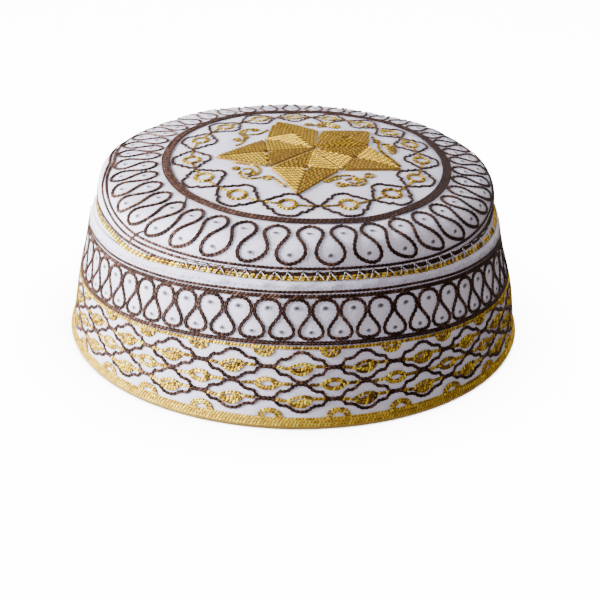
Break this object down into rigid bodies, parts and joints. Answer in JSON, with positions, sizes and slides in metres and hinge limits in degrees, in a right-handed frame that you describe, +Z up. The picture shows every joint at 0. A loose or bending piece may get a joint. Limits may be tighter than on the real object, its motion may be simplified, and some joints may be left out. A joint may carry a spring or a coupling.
{
  "type": "prayer cap",
  "caption": "Round low prayer cap with a softly domed flat crown and an upright side band, white cloth covered in gold and brown embroidery, standing on its open rim.",
  "frame": {"origin": "on the ground under the middle of the head opening, which the cap stands on", "axes": "+Z up through the crown, -Y towards the front that the picture shows, +X to its right"},
  "size_m": [0.1836, 0.1848, 0.0748],
  "materials": {
    "crown_panel": "matt white cotton twill",
    "side_band": "matt white cotton twill",
    "hem_edge": "gold metallic thread, overcast in close rows",
    "gold_star": "gold metallic thread, satin stitched",
    "brown_ring": "dark brown variegated thread, chain stitched"
  },
  "bodies": {
    "root": {"crown_panel": "crown_panel", "side_band": "side_band", "hem_edge": "hem_edge", "gold_star": "gold_star", "brown_ring": "brown_ring"}
  },
  "joints": []
}
